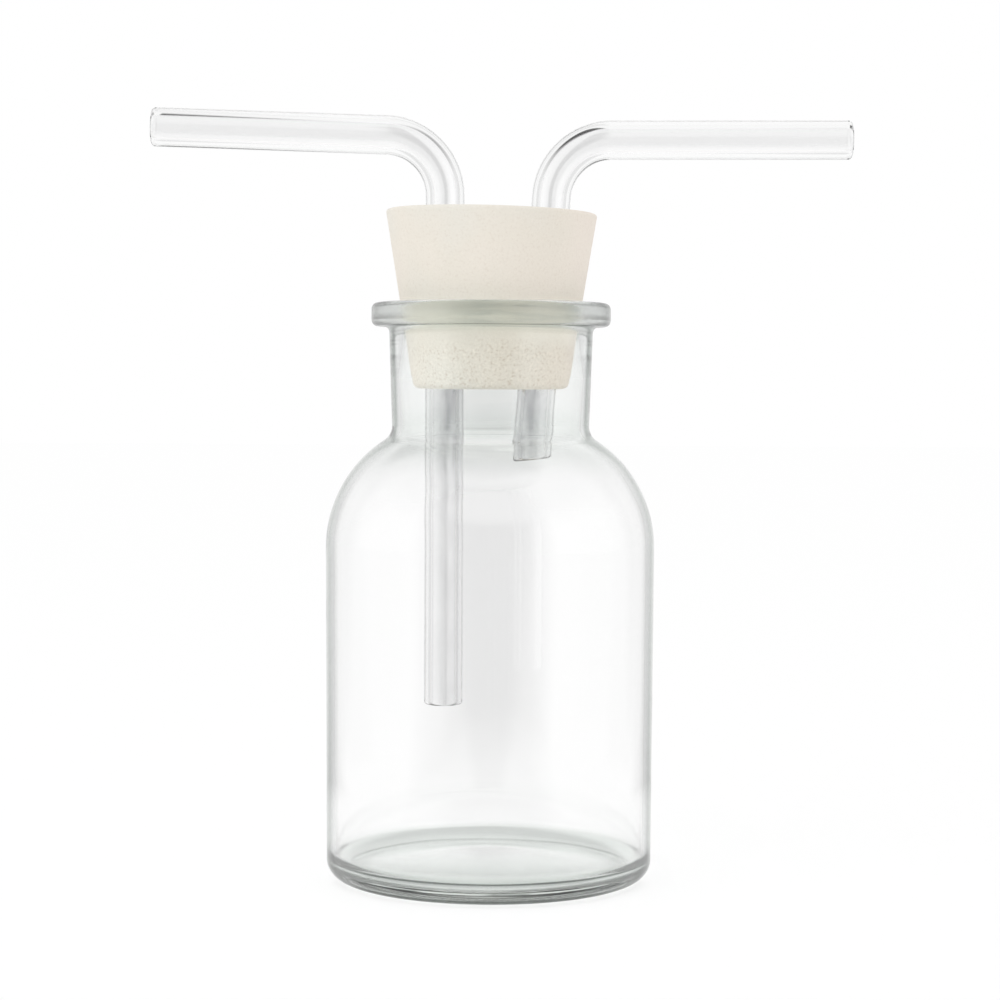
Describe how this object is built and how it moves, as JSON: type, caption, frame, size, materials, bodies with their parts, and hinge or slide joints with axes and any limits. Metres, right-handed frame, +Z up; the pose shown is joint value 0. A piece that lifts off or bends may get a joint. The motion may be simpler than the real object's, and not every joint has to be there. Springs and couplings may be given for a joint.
{
  "type": "gas washing bottle",
  "caption": "Wide-mouth glass bottle with a tapered rubber stopper that holds a long inlet tube and a short outlet tube, both bent at right angles.",
  "frame": {"origin": "on the bottle's axis, in the plane of the ring that it stands on", "axes": "+Z up along the bottle's axis, -X towards the inlet arm, +X towards the outlet arm"},
  "size_m": [0.1442, 0.068, 0.1589],
  "materials": {
    "bottle_glass": "clear soda-lime glass with a faint green-grey tint",
    "stopper_rubber": "matte cream rubber with a fine speckle",
    "tube_glass": "clear colourless tubing with fire-polished ends"
  },
  "bodies": {
    "bottle": {"bottle": "bottle_glass"},
    "stopper": {"stopper": "stopper_rubber"},
    "inlet_tube": {"inlet_tube": "tube_glass"},
    "outlet_tube": {"outlet_tube": "tube_glass"}
  },
  "joints": [
    {"name": "stopper_lift", "type": "slide", "parent": "bottle", "child": "stopper", "axis": [0, 0, 1], "range_m": [0, 0.095]},
    {"name": "inlet_swivel", "type": "hinge", "parent": "stopper", "child": "inlet_tube", "pos_m": [-0.0096, 0, 0.1382], "axis": [0, 0, 1], "range_deg": [-90, 90]},
    {"name": "outlet_swivel", "type": "hinge", "parent": "stopper", "child": "outlet_tube", "pos_m": [0.0121, 0, 0.1382], "axis": [0.0698, 0, 0.9976], "range_deg": [-90, 90]}
  ]
}
